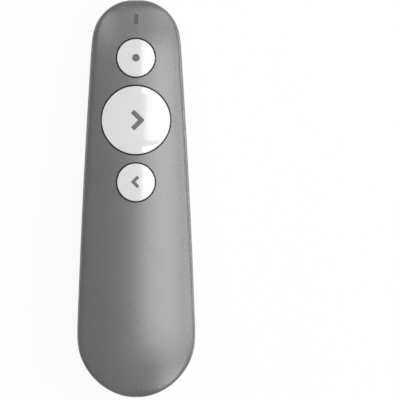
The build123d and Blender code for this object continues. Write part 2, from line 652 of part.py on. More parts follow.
radio_chip = chip(0, 25.5, 5.0, 5.0, 0.9)
crystal = chip(-5.0, 25.5, 3.2, 2.5, 0.8)
antenna = chip(0, 11.2, 7.0, 2.0, 1.0)
inductor = chip(6.1, 41.5, 3.0, 3.0, 1.5)
driver_chip = chip(4.9, 14.9, 3.0, 1.7, 1.1, 1)
capacitors = [chip(x, station, 1.6, 0.8, 0.8)
              for x, station in ((-5.2, 30.5), (-5.2, 33.0), (5.2, 30.5), (5.2, 33.0),
                                 (0.0, 44.0), (7.4, 46.4))]


# ---- indicator ----------------------------------------------------------------------
led = chip(LED_OFFSET, LED_STATION, LED_SIZE, LED_SIZE, LED_HEIGHT, 1)
guide_foot = GUIDE_TOP - GUIDE_THICKNESS
guide_start, guide_end = INDICATOR_STATION - GUIDE_WIDTH / 2, INDICATOR_STATION + GUIDE_WIDTH / 2
led_x0, led_x1 = LED_OFFSET - LED_SIZE / 2, LED_OFFSET + LED_SIZE / 2
arm = block(-INDICATOR_WIDTH / 2, led_x1, guide_start, guide_end, guide_foot, GUIDE_TOP)
arm += block(led_x0, led_x1, guide_start, LED_STATION + LED_SIZE / 2, guide_foot, GUIDE_TOP)
arm += block(led_x0, led_x1, LED_STATION - LED_SIZE / 2, LED_STATION + LED_SIZE / 2,
             BOARD_TOP + LED_HEIGHT, GUIDE_TOP)
light_pipe = (indicator & body(INDICATOR_SINK)) + (arm & body(WALL + GUIDE_CLEARANCE))


# ---- laser --------------------------------------------------------------------------
BARREL_END = BARREL_START + BARREL_LENGTH
barrel = rod(0, LASER_HEIGHT, BARREL_START, BARREL_END, BARREL_RADIUS)
barrel -= rod(0, LASER_HEIGHT, BARREL_START - 1, BARREL_END + 1, BARREL_BORE)
lens_start = BARREL_START + LENS_SINK
laser_lens = rod(0, LASER_HEIGHT, lens_start, lens_start + LENS_THICKNESS, BARREL_BORE)
DIODE_END = BARREL_END + DIODE_FLANGE
diode = rod(0, LASER_HEIGHT, BARREL_END - DIODE_LENGTH, BARREL_END, BARREL_BORE)
diode += rod(0, LASER_HEIGHT, BARREL_END, DIODE_END, BARREL_RADIUS)
for turn in (90, 210, 330):
    diode += rod(PIN_CIRCLE * cos(radians(turn)),
                 LASER_HEIGHT + PIN_CIRCLE * sin(radians(turn)),
                 DIODE_END, DIODE_END + PIN_LENGTH, PIN_RADIUS)
holder = block(-HOLDER_WIDTH / 2, HOLDER_WIDTH / 2, BARREL_START + HOLDER_INSET,
               BARREL_END - HOLDER_INSET, BOARD_TOP, LASER_HEIGHT)
holder -= rod(0, LASER_HEIGHT, BARREL_START, BARREL_END, BARREL_RADIUS)
window = rod(0, LASER_HEIGHT, WINDOW_SINK, WINDOW_SINK + WINDOW_THICKNESS, WINDOW_RADIUS)


# ---- writing ------------------------------------------------------------------------
nodes = {
    "front_shell": front_shell,
    "rear_shell": rear_shell,
    "battery_door": battery_door,
    "battery_tray": tray,
    "rear_label": rear_label,
    "pointer_button_cap": pointer_cap,
    "next_button_cap": next_cap,
    "back_button_cap": back_cap,
    "pointer_switch_plunger": plunger(POINTER_STATION),
    "next_switch_plunger": plunger(NEXT_STATION),
    "back_switch_plunger": plunger(BACK_STATION),
    "switch_bodies": switch_bodies,
    "switch_covers": switch_covers,
    "main_board": main_board,
    "radio_chip": radio_chip,
    "crystal_can": crystal,
    "chip_antenna": antenna,
    "power_inductor": inductor,
    "laser_driver_chip": driver_chip,
    "chip_capacitors": capacitors,
    "status_led": led,
    "light_pipe": light_pipe,
    "laser_barrel": barrel,
    "laser_lens": laser_lens,
    "laser_diode": diode,
    "laser_holder": holder,
    "laser_window": window,
    "battery_can": battery,
    "battery_positive_cap": nub,
    "battery_spring": battery_spring,
    "negative_contact_plate": negative_plate,
    "positive_contact_plate": positive_plate,
    "receiver_housing": receiver_housing,
    "receiver_plug_shell": plug_shell,
    "receiver_tongue": plug_tongue,
    "receiver_contacts": plug_contacts,
    "fixing_screws": screws,
}
box = (Rot(-REST_ANGLE, 0, 0) * outer).bounding_box()
rest = Pos(0, -(box.min.Y + box.max.Y) / 2, -box.min.Z) * Rot(-REST_ANGLE, 0, 0)

os.makedirs("parts", exist_ok=True)
for name, shape in nodes.items():
    pieces = shape if isinstance(shape, list) else [shape]
    export_step(Compound(children=[rest * piece for piece in pieces]), f"parts/{name}.step")
print("shift", rest.position, "box", box.size)
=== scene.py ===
"""Wireless presentation clicker: finishes, printed marks, loose cell, receiver and studio."""

import logging
import math
from dataclasses import dataclass, field
from enum import Enum
from typing import Any, Callable, Iterable, Sequence

import bpy
from mathutils import Euler, Matrix, Vector

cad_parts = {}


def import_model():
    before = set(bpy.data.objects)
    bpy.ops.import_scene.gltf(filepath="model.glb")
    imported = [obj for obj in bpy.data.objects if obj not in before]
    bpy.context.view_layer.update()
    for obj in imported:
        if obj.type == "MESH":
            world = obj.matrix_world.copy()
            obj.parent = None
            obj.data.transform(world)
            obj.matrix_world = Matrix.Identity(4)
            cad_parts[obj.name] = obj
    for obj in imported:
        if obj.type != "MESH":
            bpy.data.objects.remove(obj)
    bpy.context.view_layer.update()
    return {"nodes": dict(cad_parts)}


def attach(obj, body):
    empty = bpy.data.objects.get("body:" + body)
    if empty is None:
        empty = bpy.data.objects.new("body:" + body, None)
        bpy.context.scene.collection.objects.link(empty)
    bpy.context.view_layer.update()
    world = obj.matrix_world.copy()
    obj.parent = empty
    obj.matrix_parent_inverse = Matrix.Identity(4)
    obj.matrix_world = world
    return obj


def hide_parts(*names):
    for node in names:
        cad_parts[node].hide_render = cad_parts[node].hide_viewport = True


logging.basicConfig(level=logging.INFO, format="%(message)s")
log = logging.getLogger("clicker")

MM = 0.001
POINTER_STATION = 17.7      # the caps' axes, in millimetres from the nose tip
NEXT_STATION = 36.4
BACK_STATION = 55.1
ABOVE_FACE = 12.0           # height above the seam plane that clears every cap, in mm
BELOW_BACK = -20.0          # height that clears the back, in mm
DRIFT_BAND = (0.35, 0.65)   # noise values between which a plastic's colour drifts
STAIN_BAND = (0.3, 0.6)     # the same for a metal's dulled patches
PLASTIC_SPREAD = 0.04       # how far a plastic's roughness strays from its middle
METAL_SPREAD = 0.07
RELIEF_MM = 0.03            # height of etched tracks and of a sleeve's ripples, in mm
MIX_A, MIX_B, MIX_RESULT = 6, 7, 2      # the colour sockets of a Mix node
SMOOTH_ANGLE = math.radians(35.0)


# ---------------------------------------------------------------------------- places
@dataclass(frozen=True)
class DesignFrame:
    """The upright frame the body was drawn in, as it lies in the scene.

    Attributes:
        tilt: Turn about X that lays the keel on the desk, in degrees.
        nose_y: The nose tip's place along Y, in millimetres.
        nose_z: Height of the seam plane at the nose tip, in millimetres.
    """

    tilt: float = -7.5
    nose_y: float = 59.2497
    nose_z: float = 6.42159

    def turn(self) -> Euler:
        """Rotation from the drawing to the scene."""
        return Euler((math.radians(self.tilt), 0.0, 0.0))

    def at(self, across: float, station: float, height: float) -> Vector:
        """Scene position of a point of the drawing.

        Args:
            across: Millimetres to the right of the middle line.
            station: Millimetres from the nose tip towards the tail.
            height: Millimetres above the seam plane.

        Returns:
            The point in metres.
        """
        point = Vector((across, -station, height))
        point.rotate(self.turn())
        return (point + Vector((0.0, self.nose_y, self.nose_z))) * MM

    def along(self, x: float, y: float, z: float) -> Vector:
        """Scene direction of a direction of the drawing.

        Args:
            x: Share to the right.
            y: Share towards the nose.
            z: Share out of the button face.

        Returns:
            The direction, as long as the one given.
        """
        direction = Vector((x, y, z))
        direction.rotate(self.turn())
        return direction


DESIGN = DesignFrame()


class Side(Enum):
    """Which face of the body a flat mark lies on, as its extra turn in degrees."""

    FRONT = 0.0
    BACK = 180.0


class Heading(Enum):
    """Where a chevron points, as the turn in degrees of a corner open to +X and +Y."""

    RIGHT = 135.0
    LEFT = -45.0


class Element(Enum):
    """What a selection in edit mode is made of."""

    FACE = "FACE"
    EDGE = "EDGE"
    VERTEX = "VERT"


# ------------------------------------------------------------------- colour and nodes
def linear(colour: str) -> tuple[float, float, float, float]:
    """Turns an sRGB hex value into linear red, green, blue and alpha.

    Args:
        colour: Six hex digits after a hash sign.

    Returns:
        Four linear values.
    """
    channels = []
    for start in (1, 3, 5):
        value = int(colour[start:start + 2], 16) / 255
        channels.append(value / 12.92 if value <= 0.04045 else ((value + 0.055) / 1.055) ** 2.4)
    return channels[0], channels[1], channels[2], 1.0


def per_metre(size_mm: float) -> float:
    """Texture scale that gives a pattern of this real size."""
    return 1.0 / (size_mm * MM)


def add_node(tree: bpy.types.NodeTree, kind: str,
             settings: dict[str | int, Any] | None = None,
             links: dict[str | int, bpy.types.NodeSocket] | None = None) -> bpy.types.Node:
    """Adds a shader node with its settings and incoming links.

    Args:
        tree: The material's node tree.
        kind: The node's type name.
        settings: Values by attribute name, or by the name or number of an input socket.
        links: Output sockets by the name or number of the input socket they feed.

    Returns:
        The new node.
    """
    node = tree.nodes.new(kind)
    for name, value in (settings or {}).items():
        if isinstance(name, str) and hasattr(node, name) and name not in node.inputs:
            setattr(node, name, value)
        else:
            node.inputs[name].default_value = value
    for name, socket in (links or {}).items():
        tree.links.new(socket, node.inputs[name])
    return node


def new_material(name: str) -> tuple[bpy.types.Material, bpy.types.NodeTree,
                                     bpy.types.NodeSocket]:
    """Starts an empty node material.

    Args:
        name: The material's name.

    Returns:
        The material, its tree and its Object coordinates.
    """
    material = bpy.data.materials.new(name)
    material.use_nodes = True
    tree = material.node_tree
    tree.nodes.clear()
    coordinates = add_node(tree, "ShaderNodeTexCoord")
    return material, tree, coordinates.outputs["Object"]


def ramp(node: bpy.types.Node, stops: Sequence[tuple[float, str]]) -> None:
    """Sets a colour ramp's stops.

    Args:
        node: A colour ramp node.
        stops: Positions from 0 to 1 with their sRGB hex colours.
    """
    elements = node.color_ramp.elements
    while len(elements) > 1:
        elements.remove(elements[-1])
    elements[0].position = stops[0][0]
    elements[0].color = linear(stops[0][1])
    for position, colour in stops[1:]:
        elements.new(position).color = linear(colour)


# --------------------------------------------------------------------------- finishes
@dataclass(frozen=True)
class MouldedPlastic:
    """Injection-moulded plastic with the texture its mould leaves.

    Attributes:
        name: The material's common name and finish.
        colour: Main sRGB colour.
        shade: A slightly different colour that drifts through it.
        roughness: Middle roughness.
        grain_mm: Size of the mould's texture.
        grain_depth_mm: Depth of that texture.
        drift_mm: Size of the slow colour drift.
        ior: Index of refraction.
    """

    name: str
    colour: str
    shade: str
    roughness: float
    grain_mm: float = 0.5
    grain_depth_mm: float = 0.004
    drift_mm: float = 14.0
    ior: float = 1.5

    def tint(self, tree: bpy.types.NodeTree,
             place: bpy.types.NodeSocket) -> bpy.types.NodeSocket:
        """Adds the colour and its slow drift.

        Args:
            tree: The material's node tree.
            place: Its Object coordinates.

        Returns:
            The colour.
        """
        drift = add_node(tree, "ShaderNodeTexNoise",
                         {"Scale": per_metre(self.drift_mm), "Detail": 2.0}, {"Vector": place})
        mixed = add_node(tree, "ShaderNodeValToRGB", links={"Fac": drift.outputs["Fac"]})
        ramp(mixed, [(DRIFT_BAND[0], self.shade), (DRIFT_BAND[1], self.colour)])
        return mixed.outputs["Color"]

    def build(self) -> bpy.types.Material:
        """Makes the node material."""
        material, tree, place = new_material(self.name)
        colour = self.tint(tree, place)
        grain = add_node(tree, "ShaderNodeTexNoise",
                         {"Scale": per_metre(self.grain_mm), "Detail": 3.0,
                          "Roughness": 0.55}, {"Vector": place})
        sheen = add_node(tree, "ShaderNodeMapRange",
                         {"To Min": self.roughness - PLASTIC_SPREAD,
                          "To Max": self.roughness + PLASTIC_SPREAD},
                         {"Value": grain.outputs["Fac"]})
        relief = add_node(tree, "ShaderNodeBump",
                          {"Strength": 1.0, "Distance": self.grain_depth_mm * MM},
                          {"Height": grain.outputs["Fac"]})
        shader = add_node(tree, "ShaderNodeBsdfPrincipled", {"IOR": self.ior},
                          {"Base Color": colour,
                           "Roughness": sheen.outputs["Result"],
                           "Normal": relief.outputs["Normal"]})
        add_node(tree, "ShaderNodeOutputMaterial", links={"Surface": shader.outputs["BSDF"]})
        return material


@dataclass(frozen=True)
class CapPlastic(MouldedPlastic):
    """Cap plastic whose parts under the shell are near-black: painted shade for the gap.

    Attributes:
        station: The cap axis's station, in millimetres.
        radius_mm: The cap's radius.
        painted_shade: Colour of the painted shade in the gap round the cap.
        margin_mm: How far past the radius the painted shade starts and is full.
    """

    colour: str = "#DADADB"
    shade: str = "#D8D8D9"
    roughness: float = 0.09
    grain_mm: float = 0.8
    grain_depth_mm: float = 0.0004
    drift_mm: float = 9.0
    ior: float = 1.6
    station: float = 0.0
    radius_mm: float = 1.0
    # Near-black painted shade on the cap's skirt, which lies in the shaded gap under the shell.
    painted_shade: str = "#0B0B0C"
    margin_mm: tuple[float, float] = (0.02, 0.06)

    def tint(self, tree: bpy.types.NodeTree,
             place: bpy.types.NodeSocket) -> bpy.types.NodeSocket:
        """Adds the plastic's colour and the painted shade round it.

        Args:
            tree: The material's node tree.
            place: Its Object coordinates.

        Returns:
            The colour.
        """
        plastic = super().tint(tree, place)
        centred = add_node(tree, "ShaderNodeMapping",
                           {"vector_type": "TEXTURE", "Rotation": tuple(DESIGN.turn()),
                            "Location": DESIGN.at(0.0, self.station, 0.0)}, {"Vector": place})
        flat = add_node(tree, "ShaderNodeVectorMath",
                        {"operation": "MULTIPLY", 1: (1.0, 1.0, 0.0)},
                        {0: centred.outputs["Vector"]})
        reach = add_node(tree, "ShaderNodeVectorMath", {"operation": "LENGTH"},
                         {0: flat.outputs["Vector"]})
        starts, full = (self.radius_mm * MM + margin * MM for margin in self.margin_mm)
        painted = add_node(tree, "ShaderNodeMapRange", {"From Min": starts, "From Max": full},
                           {"Value": reach.outputs["Value"]})
        # Painted shade: past its radius the cap turns near-black, standing in for the gap's
        # shade.
        cover = add_node(tree, "ShaderNodeMix",
                         {"data_type": "RGBA", MIX_B: linear(self.painted_shade)},
                         {"Factor": painted.outputs["Result"], MIX_A: plastic})
        return cover.outputs[MIX_RESULT]


@dataclass(frozen=True)
class PlatedMetal:
    """Sheet, turned or wire metal with the fine lines its making leaves.

    Attributes:
        name: The metal and how it was made.
        colour: Main sRGB colour.
        stain: Colour of its faint dulled patches.
        roughness: Middle roughness.
        line_mm: Spacing of the drawn or turned lines.
        stretch: How much longer than wide the lines are.
        stain_mm: Size of the dulled patches.
    """

    name: str
    colour: str
    stain: str
    roughness: float
    line_mm: float = 0.12
    stretch: float = 14.0
    stain_mm: float = 5.0

    def build(self) -> bpy.types.Material:
        """Makes the node material."""
        material, tree, place = new_material(self.name)
        drawn = add_node(tree, "ShaderNodeMapping",
                         {"Scale": (1.0, 1.0 / self.stretch, 1.0)}, {"Vector": place})
        lines = add_node(tree, "ShaderNodeTexNoise",
                         {"Scale": per_metre(self.line_mm), "Detail": 2.0},
                         {"Vector": drawn.outputs["Vector"]})
        patches = add_node(tree, "ShaderNodeTexNoise", {"Scale": per_metre(self.stain_mm)},
                           {"Vector": place})
        tint = add_node(tree, "ShaderNodeValToRGB", links={"Fac": patches.outputs["Fac"]})
        ramp(tint, [(STAIN_BAND[0], self.stain), (STAIN_BAND[1], self.colour)])
        sheen = add_node(tree, "ShaderNodeMapRange",
                         {"To Min": self.roughness - METAL_SPREAD,
                          "To Max": self.roughness + METAL_SPREAD},
                         {"Value": lines.outputs["Fac"]})
        shader = add_node(tree, "ShaderNodeBsdfPrincipled", {"Metallic": 1.0},
                          {"Base Color": tint.outputs["Color"],
                           "Roughness": sheen.outputs["Result"]})
        add_node(tree, "ShaderNodeOutputMaterial", links={"Surface": shader.outputs["BSDF"]})
        return material


@dataclass(frozen=True)
class ClearPlastic:
    """Clear or tinted moulded plastic that light passes through.

    Attributes:
        name: The plastic and its tint.
        colour: Tint as sRGB.
        roughness: Middle surface roughness.
        ior: Index of refraction.
        clarity: Share of the light that passes through.
        haze_mm: Size of the faint mould texture.
        haze: Share by which that texture changes the roughness.
    """

    name: str
    colour: str
    roughness: float
    ior: float = 1.58
    clarity: float = 0.85
    haze_mm: float = 0.6
    haze: float = 0.3

    def build(self) -> bpy.types.Material:
        """Makes the node material."""
        material, tree, place = new_material(self.name)
        haze = add_node(tree, "ShaderNodeTexNoise", {"Scale": per_metre(self.haze_mm)},
                        {"Vector": place})
        sheen = add_node(tree, "ShaderNodeMapRange",
                         {"To Min": self.roughness * (1.0 - self.haze),
                          "To Max": self.roughness * (1.0 + self.haze)},
                         {"Value": haze.outputs["Fac"]})
        shader = add_node(tree, "ShaderNodeBsdfPrincipled",
                          {"Base Color": linear(self.colour), "IOR": self.ior,
                           "Transmission Weight": self.clarity},
                          {"Roughness": sheen.outputs["Result"]})
        add_node(tree, "ShaderNodeOutputMaterial", links={"Surface": shader.outputs["BSDF"]})
        return material


@dataclass(frozen=True)
class CircuitBoardMask:
    """Near-black solder mask over etched copper tracks.

    Attributes:
        name: The material's name.
        colour: Mask over bare laminate.
        track: Mask over copper.
        pitch_mm: Spacing of the tracks.
        track_share: Width of a track as a share of the spacing.
        run: Length of a track between turns, in spacings.
        roughness: The mask's roughness.
        ior: Its index of refraction.
    """

    name: str = "Solder_mask_over_copper"
    colour: str = "#0D1411"
    track: str = "#1A2620"
    pitch_mm: float = 1.3
    track_share: float = 0.12
    run: float = 3.0
    roughness: float = 0.32
    ior: float = 1.52

    def build(self) -> bpy.types.Material:
        """Makes the node material."""
        material, tree, place = new_material(self.name)
        cells = add_node(tree, "ShaderNodeTexBrick",
                         {"Scale": per_metre(self.pitch_mm), "Mortar Size": self.track_share,
                          "Color1": linear(self.colour), "Color2": linear(self.colour),
                          "Mortar": linear(self.track), "Brick Width": self.run,
                          "Row Height": 1.0}, {"Vector": place})
        relief = add_node(tree, "ShaderNodeBump", {"Strength": 1.0, "Distance": RELIEF_MM * MM},
                          {"Height": cells.outputs["Fac"]})
        shader = add_node(tree, "ShaderNodeBsdfPrincipled",
                          {"Roughness": self.roughness, "IOR": self.ior},
                          {"Base Color": cells.outputs["Color"],
                           "Normal": relief.outputs["Normal"]})
        add_node(tree, "ShaderNodeOutputMaterial", links={"Surface": shader.outputs["BSDF"]})
        return material


@dataclass(frozen=True)
class CellSleeve:
    """Printed film shrunk round a cell: black with a copper-coloured band.

    Attributes:
        name: The material's name.
        body: Colour of most of the sleeve.
        band: Colour of the band at the positive end.
        band_station: Where the band starts, in millimetres from the nose tip.
        edge_mm: Half the width of the band's printed edge.
        ripple_mm: Size of the film's shrink ripples.
        roughness: The film's roughness.
        ior: Its index of refraction.
    """

    name: str = "Shrunk_film_sleeve"
    body: str = "#1B1C1F"
    band: str = "#B8733A"
    band_station: float = 93.0
    edge_mm: float = 0.1
    ripple_mm: float = 3.0
    roughness: float = 0.25
    ior: float = 1.54

    def build(self) -> bpy.types.Material:
        """Makes the node material."""
        material, tree, place = new_material(self.name)
        start = DESIGN.at(0.0, self.band_station, 0.0)
        aft = DESIGN.along(0.0, -1.0, 0.0)
        lengthwise = add_node(tree, "ShaderNodeVectorMath",
                              {"operation": "DOT_PRODUCT", 1: aft}, {0: place})
        reach, edge = start.dot(aft), self.edge_mm * MM
        share = add_node(tree, "ShaderNodeMapRange",
                         {"From Min": reach - edge, "From Max": reach + edge},
                         {"Value": lengthwise.outputs["Value"]})
        tint = add_node(tree, "ShaderNodeValToRGB", links={"Fac": share.outputs["Result"]})
        ramp(tint, [(0.0, self.body), (1.0, self.band)])
        ripple = add_node(tree, "ShaderNodeTexNoise", {"Scale": per_metre(self.ripple_mm)},
                          {"Vector": place})
        relief = add_node(tree, "ShaderNodeBump", {"Strength": 1.0, "Distance": RELIEF_MM * MM},
                          {"Height": ripple.outputs["Fac"]})
        shader = add_node(tree, "ShaderNodeBsdfPrincipled",
                          {"Roughness": self.roughness, "IOR": self.ior},
                          {"Base Color": tint.outputs["Color"],
                           "Normal": relief.outputs["Normal"]})
        add_node(tree, "ShaderNodeOutputMaterial", links={"Surface": shader.outputs["BSDF"]})
        return material


# The grain of every moulded finish is drawn coarser than the real one, so that it shows.
# Spark-eroded ABS: a satin grey that spreads the light softly.
SHELL_ABS = MouldedPlastic("Satin_grey_ABS", "#6B6B6B", "#686868", roughness=0.28,
                           grain_mm=0.55, grain_depth_mm=0.0009, ior=1.74)
# Polished white ABS: a clear soft highlight, with painted shade where the caps reach under the
# shell.
POINTER_CAP_ABS = CapPlastic("Polished_white_ABS_pointer", station=POINTER_STATION,
                             radius_mm=5.68)
NEXT_CAP_ABS = CapPlastic("Polished_white_ABS_next", station=NEXT_STATION, radius_mm=10.25)
BACK_CAP_ABS = CapPlastic("Polished_white_ABS_back", station=BACK_STATION, radius_mm=5.68)
# Pad-printed ink: flat, slightly grainy where the pad lifted.
ICON_INK = MouldedPlastic("Pad_printed_grey_ink", "#646467", "#606064", roughness=0.5,
                          grain_mm=0.3, grain_depth_mm=0.002, drift_mm=2.0)
# Printed polyester film with a matt overcoat, so its colour stays full at a slant.
LABEL_FILM = MouldedPlastic("Matt_olive_film", "#797E0E", "#727714", roughness=0.55,
                            grain_mm=0.4, grain_depth_mm=0.001, drift_mm=6.0, ior=1.3)
KEYLINE_INK = MouldedPlastic("Dark_keyline_ink", "#17180A", "#141508", roughness=0.5,
                             grain_mm=0.3, grain_depth_mm=0.001, drift_mm=3.0, ior=1.3)
# Unpolished black ABS: dull, with a soft sheen on its edges.
FRAME_ABS = MouldedPlastic("Black_frame_ABS", "#26272A", "#222326", roughness=0.5,
                           grain_mm=0.4, grain_depth_mm=0.005)
RECEIVER_ABS = MouldedPlastic("Fine_black_ABS", "#1D1E20", "#1A1B1D", roughness=0.42,
                              grain_mm=0.4)
# Transfer-moulded epoxy: matt charcoal with a sandy surface.
CHIP_EPOXY = MouldedPlastic("Moulded_epoxy", "#202122", "#1B1C1D", roughness=0.6,
                            grain_mm=0.2, drift_mm=2.0)
# Acetal: waxy, smooth and evenly coloured.
PLUNGER_ACETAL = MouldedPlastic("Red_acetal", "#8A2E22", "#832A1F", roughness=0.35,
                                grain_mm=0.4, grain_depth_mm=0.002, drift_mm=2.0)
# Fired ceramic: chalky, with fine specks.
WHITE_CERAMIC = MouldedPlastic("Fired_white_ceramic", "#D9D7CC", "#D2D0C4", roughness=0.4,
                               grain_mm=0.2, grain_depth_mm=0.003, drift_mm=2.0)
TAN_CERAMIC = MouldedPlastic("Fired_tan_ceramic", "#9B7B56", "#8F7150", roughness=0.45,
                             grain_mm=0.2, grain_depth_mm=0.003, drift_mm=2.0)
# Moulded nylon: milky, with a low gloss.
PLUG_NYLON = MouldedPlastic("White_nylon", "#DEDEDA", "#D9D9D4", roughness=0.4, grain_mm=0.4,
                            grain_depth_mm=0.002, drift_mm=3.0)
# Spring strip coloured dark and matt as painted shade for the gap above it, where a glint would
# show.
SHADE_DARKENED_STEEL = PlatedMetal("Shade_darkened_spring_steel", "#34332F", "#2C2B28", roughness=0.6)
# Nickel on pressed sheet: bright, with fine rolling lines.
NICKEL_STEEL = PlatedMetal("Nickel_plated_steel", "#C9C8C4", "#BDBCB7", roughness=0.26)
# Plated spring wire and strip: bright, with drawn lines.
SPRING_STEEL = PlatedMetal("Plated_spring_steel", "#D2D0C8", "#BDBAAE", roughness=0.22)
# Turned brass: yellow, with the lathe's rings.
TURNED_BRASS = PlatedMetal("Turned_brass", "#D9B45F", "#C49C49", roughness=0.25)
# Gold flash on contacts: warm and clean.
GOLD_PLATE = PlatedMetal("Gold_plate", "#E5BF66", "#D5AC50", roughness=0.22)
# The indicator's lens is frosted, so it reads a little darker than the shell round it.
FROSTED_PC = MouldedPlastic("Frosted_polycarbonate", "#525356", "#4E4F51", roughness=0.3,
                            grain_mm=0.3, grain_depth_mm=0.001, drift_mm=2.0, ior=1.58)
# Polished polycarbonate: clear, and red where it filters the beam.
CLEAR_PC = ClearPlastic("Clear_polycarbonate", "#F2F4F4", roughness=0.05)
RED_PC = ClearPlastic("Dark_red_filter", "#5A0A0C", roughness=0.08)
# Solder mask: dark and half glossy, with the tracks raised under it.
BOARD_MASK = CircuitBoardMask()
# Shrunk printed film: glossy, gently rippled.
SLEEVE_FILM = CellSleeve()


# ------------------------------------------------------------------ modelling by hand
def deselect_all() -> None:
    """Leaves object mode's selection empty."""
    if bpy.context.object and bpy.context.object.mode != "OBJECT":
        bpy.ops.object.mode_set(mode="OBJECT")
    bpy.ops.object.select_all(action="DESELECT")


def take_new(name: str) -> bpy.types.Object:
    """Names the primitive just added and leaves it alone in the selection.

    Args:
        name: The piece's name.

    Returns:
        The new object.
    """
    piece = bpy.context.active_object
    piece.name = name
    piece.data.name = name
    deselect_all()
    piece.select_set(True)
    bpy.context.view_layer.objects.active = piece
    return piece


def pick(piece: bpy.types.Object, kind: Element, test: Callable[[Any], bool]) -> None:
    """Selects only the faces, edges or vertices of a mesh that pass a test.

    Args:
        piece: The object, in edit mode.
        kind: What is selected.
        test: Called with each element; a vertex has its place in co, a face its
            middle in center, and an edge is given as its middle point.
    """
    bpy.ops.mesh.select_mode(type=kind.value)
    bpy.ops.mesh.select_all(action="DESELECT")
    bpy.ops.object.mode_set(mode="OBJECT")
    mesh = piece.data
    if kind is Element.EDGE:
        for edge in mesh.edges:
            start, end = (mesh.vertices[i].co for i in edge.vertices)
            edge.select = test((start + end) / 2)
    else:
        for element in mesh.polygons if kind is Element.FACE else mesh.vertices:
            element.select = test(element)
    bpy.ops.object.mode_set(mode="EDIT")


def finish_modifiers(piece: bpy.types.Object) -> None:
    """Applies every modifier in order."""
    for modifier in list(piece.modifiers):
        bpy.ops.object.modifier_apply(modifier=modifier.name)


def settle(piece: bpy.types.Object, across: float, station: float, height: float,
           side: Side = Side.FRONT) -> None:
    """Lays a flat-drawn piece at its place on the body, its top facing outwards.

    Args:
        piece: The piece, drawn at the origin.
        across: Millimetres to the right of the middle line.
        station: Millimetres from the nose tip.
        height: Millimetres above the seam plane.
        side: The face of the body it lies on.
    """
    piece.rotation_euler = (math.radians(DESIGN.tilt + side.value), 0.0, 0.0)
    piece.location = DESIGN.at(across, station, height)
    bpy.context.view_layer.update()


def freeze(piece: bpy.types.Object, material: bpy.types.Material, body: str) -> None:
    """Bakes a piece's place into its mesh, paints it and makes it ride.

    Args:
        piece: The finished piece.
        material: Its finish.
        body: The moving body it belongs to.
    """
    deselect_all()
    piece.select_set(True)
    bpy.context.view_layer.objects.active = piece
    bpy.ops.object.transform_apply(location=True, rotation=True, scale=True)
    piece.data.materials.clear()
    piece.data.materials.append(material)
    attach(piece, body)
    log.info("made %s on %s: %d faces", piece.name, body, len(piece.data.polygons))


def lay_on(piece: bpy.types.Object, target: bpy.types.Object, lift_mm: float,
           thickness_mm: float) -> None:
    """Presses a flat piece onto a surface and gives it a thickness.

    Args:
        piece: The piece, just above the surface, its Z pointing away from it.
        target: The surface's object.
        lift_mm: Height of its underside above the surface.
        thickness_mm: Its thickness.
    """
    wrap = piece.modifiers.new("press", "SHRINKWRAP")
    wrap.target = target
    wrap.wrap_method = "PROJECT"
    wrap.use_project_z = True
    wrap.use_negative_direction = True
    wrap.use_positive_direction = False
    wrap.offset = lift_mm * MM
    film = piece.modifiers.new("film", "SOLIDIFY")
    film.thickness = thickness_mm * MM
    film.offset = 1.0
    finish_modifiers(piece)


# ---------------------------------------------------------------------- printed marks
@dataclass
class ChevronMark:
    """Square-cornered arrow head printed on a cap.

    Attributes:
        name: The piece's name.
        cap: CAD node it is printed on.
        body: Body it rides on.
        tip_x: The tip's place across, in millimetres.
        station: The tip's station, in millimetres.
        arm_mm: Outer length of each arm.
        stroke_mm: Width of each arm.
        heading: Where the head points.
        lift_mm: Height of the ink's underside above the cap.
        film_mm: Thickness of the ink.
        blunt_share: How far the tip is blunted, as a share of the stroke.
        blunt_steps: Facets of the blunted tip.
        cuts: Subdivisions, so that the ink follows the cap's curve.
    """

    name: str
    cap: str
    body: str
    tip_x: float
    station: float
    arm_mm: float
    stroke_mm: float
    heading: Heading
    lift_mm: float = 0.005
    film_mm: float = 0.02
    blunt_share: float = 0.12
    blunt_steps: int = 3
    cuts: int = 5

    def draw(self) -> bpy.types.Object:
        """Models the flat head: a square corner with two arms extruded from it."""
        stroke, arm = self.stroke_mm * MM, self.arm_mm * MM
        bpy.ops.mesh.primitive_plane_add(size=stroke, location=(stroke / 2, stroke / 2, 0.0))
        piece = take_new(self.name)
        bpy.ops.object.transform_apply(location=True, rotation=False, scale=False)
        reach, near = arm - stroke, stroke * 0.1
        bpy.ops.object.mode_set(mode="EDIT")
        pick(piece, Element.EDGE, lambda middle: middle.x > stroke - near)
        bpy.ops.mesh.extrude_region_move(TRANSFORM_OT_translate={"value": (reach, 0.0, 0.0)})
        pick(piece, Element.EDGE, lambda middle: middle.y > stroke - near and middle.x < stroke)
        bpy.ops.mesh.extrude_region_move(TRANSFORM_OT_translate={"value": (0.0, reach, 0.0)})
        pick(piece, Element.VERTEX, lambda corner: corner.co.length < near)
        bpy.ops.mesh.bevel(offset=stroke * self.blunt_share, segments=self.blunt_steps,
                           affect="VERTICES")
        bpy.ops.mesh.select_all(action="SELECT")
        bpy.ops.mesh.quads_convert_to_tris()
        bpy.ops.mesh.subdivide(number_cuts=self.cuts)
        bpy.ops.object.mode_set(mode="OBJECT")
        piece.rotation_euler = (0.0, 0.0, math.radians(self.heading.value))
        bpy.ops.object.transform_apply(location=False, rotation=True, scale=False)
        return piece

    def build(self, nodes: dict[str, bpy.types.Object], ink: bpy.types.Material) -> None:
        """Lays the head on its cap.

        Args:
            nodes: CAD objects by node name.
            ink: The printed ink.
        """
        piece = self.draw()
        settle(piece, self.tip_x, self.station, ABOVE_FACE)
        lay_on(piece, nodes[self.cap], self.lift_mm, self.film_mm)
        freeze(piece, ink, self.body)


